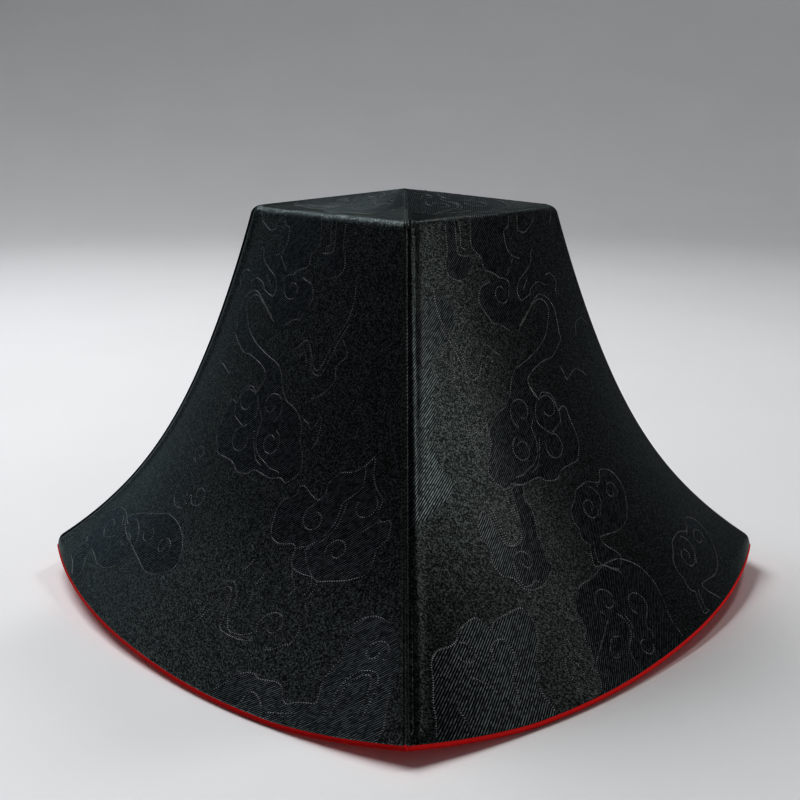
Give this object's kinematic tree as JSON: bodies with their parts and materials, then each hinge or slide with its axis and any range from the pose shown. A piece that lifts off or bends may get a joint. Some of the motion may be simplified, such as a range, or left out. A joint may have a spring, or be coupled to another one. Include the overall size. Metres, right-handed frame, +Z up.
{
  "type": "four-cornered hat",
  "caption": "Stiff black brocade hat with a narrow square crown, concave corner seams and a wide flared hem edged with red piping, lined in red.",
  "frame": {"origin": "centre of the bounding box's bottom face, on the surface that the hem stands on, under the point of the crown", "axes": "+Z up through the point of the crown; the four corners lie on +X, -X, +Y and -Y, and the corner that faces the picture's camera is at -Y"},
  "size_m": [0.32, 0.32, 0.174],
  "materials": {
    "black_brocade": "satin-faced figured twill with a tone-on-tone cloud pattern",
    "red_lining": "plain weave with a low sheen",
    "red_piping": "matt cloth over a thin cord"
  },
  "bodies": {
    "root": {"gore_front_left": "black_brocade", "gore_front_right": "black_brocade", "gore_back_left": "black_brocade", "gore_back_right": "black_brocade", "lining": "red_lining", "hem_piping": "red_piping"}
  },
  "joints": []
}
